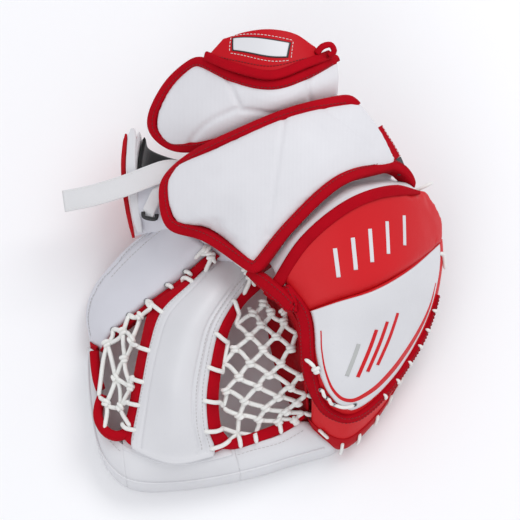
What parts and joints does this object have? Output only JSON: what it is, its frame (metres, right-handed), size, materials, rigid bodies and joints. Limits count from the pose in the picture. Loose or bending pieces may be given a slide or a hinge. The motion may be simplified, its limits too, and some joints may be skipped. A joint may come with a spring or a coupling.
{
  "type": "ice hockey goalkeeper's catching glove",
  "caption": "Goalkeeper's catching glove with padded back, thumb and finger shells, wrist cuff and strap, and a laced T-shaped pocket that folds closed.",
  "frame": {"origin": "under the middle of the glove, on the surface that it lies on palm down", "axes": "+X towards the finger side, +Y towards the wrist, +Z out of the back of the hand"},
  "size_m": [0.3694, 0.4046, 0.2011],
  "materials": {
    "white_knit": "fine knit mesh over foam",
    "red_binding": "woven edge binding",
    "red_leather": "satin synthetic leather",
    "white_leather": "satin synthetic leather",
    "grey_leather": "satin synthetic leather",
    "palm_leather": "soft palm leather",
    "black_lining": "brushed lining",
    "foam": "closed-cell foam",
    "board": "flexible plastic board",
    "lace": "waxed lace",
    "webbing": "woven webbing",
    "black_plastic": "moulded plastic"
  },
  "bodies": {
    "root": {"back_pad": "white_knit", "back_pad_binding": "red_binding", "hand_liner": "black_lining", "side_gusset": "white_knit", "thumb_side_gusset": "grey_leather", "cuff_outer": "red_leather", "cuff_board": "board", "cuff_lining": "black_lining", "palm_heel": "palm_leather", "palm_foam": "foam", "thumb_shell": "grey_leather", "thumb_core": "foam", "thumb_palm": "palm_leather", "thumb_binding": "red_binding", "thumb_lace": "lace", "keeper_loop": "webbing", "keeper_ring": "black_plastic"},
    "wrist": {"wrist_pad": "white_knit", "wrist_pad_binding": "red_binding", "wrist_tab": "red_leather", "label_plate": "white_leather"},
    "strap": {"strap": "webbing", "strap_hook_patch": "black_plastic"},
    "side_tab": {"side_tab": "red_leather", "side_tab_end": "black_plastic"},
    "pocket": {"stem": "white_leather", "stem_core": "foam", "stem_binding_left": "red_binding", "stem_binding_right": "red_binding", "bar_center": "white_leather", "bar_left": "white_leather", "bar_left_binding": "red_binding", "net_left": "lace"},
    "fingers": {"knuckle_gusset": "white_leather", "knuckle_roll": "red_leather", "finger_foam": "foam", "finger_shell": "red_leather", "finger_plate": "white_leather", "finger_palm": "palm_leather", "finger_edge_binding": "red_binding", "finger_rim": "red_leather", "finger_lace": "lace", "plate_lace": "lace", "bar_right": "white_leather", "bar_right_binding": "red_binding", "net_right": "lace"}
  },
  "joints": [
    {"name": "glove_close", "type": "hinge", "parent": "root", "child": "pocket", "pos_m": [0.01081, 0.0026, 0.0896], "axis": [0.7657, 0.6402, 0.0628], "range_deg": [0, 22], "deforming": ["net_left", "bar_left", "bar_left_binding"]},
    {"name": "finger_close", "type": "hinge", "parent": "pocket", "child": "fingers", "pos_m": [0.01081, 0.0026, 0.0896], "axis": [0.7657, 0.6402, 0.0628], "range_deg": [0, 22], "deforming": ["net_right", "bar_right", "bar_right_binding"]},
    {"name": "wrist_flex", "type": "hinge", "parent": "root", "child": "wrist", "pos_m": [0.00857, 0.1258, 0.1456], "axis": [0.933, 0.3068, 0.1879], "range_deg": [-15, 14]},
    {"name": "strap_lift", "type": "hinge", "parent": "root", "child": "strap", "pos_m": [-0.08327, 0.0922, 0.10864], "axis": [-0.2639, 0.9646, 0], "range_deg": [0, 70]},
    {"name": "tab_lift", "type": "hinge", "parent": "root", "child": "side_tab", "pos_m": [0.12449, 0.1342, 0.13216], "axis": [-0.3748, 0.2249, 0.8994], "range_deg": [0, 40]}
  ],
  "couplings": [
    {"joint": "finger_close", "follows": "glove_close", "ratio": 1}
  ]
}
